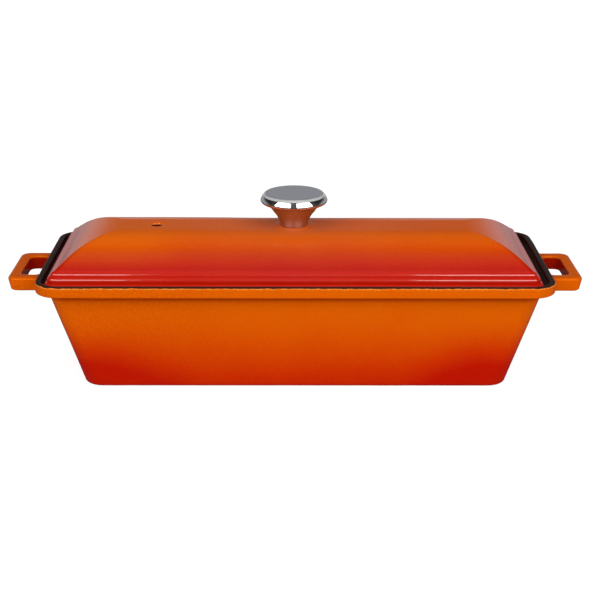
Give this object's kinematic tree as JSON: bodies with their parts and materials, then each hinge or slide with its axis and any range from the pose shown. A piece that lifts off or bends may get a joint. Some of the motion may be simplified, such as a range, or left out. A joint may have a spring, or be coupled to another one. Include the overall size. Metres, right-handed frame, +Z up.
{
  "type": "lidded bread pan",
  "caption": "Enamelled cast iron bread pan with drafted sides, a flanged rim, a loop handle at each end and a hipped lid with a steel knob.",
  "frame": {"origin": "middle of the underside of the pan's base", "axes": "+X along the pan towards the handle that is on the right in the picture, +Y away from the viewer, +Z up"},
  "size_m": [0.375, 0.125, 0.1221],
  "materials": {
    "orange_enamel": "glossy enamel on cast iron, orange running to red at the base and the lid's border",
    "black_enamel": "matt black enamel on the rim, the recess and the inside",
    "knob_steel": "polished stainless steel with a satin face",
    "fastener_steel": "plain zinc-plated steel"
  },
  "bodies": {
    "root": {"pan": "orange_enamel", "lid": "orange_enamel", "knob": "knob_steel", "knob_screw": "fastener_steel", "knob_washer": "fastener_steel"}
  },
  "joints": []
}
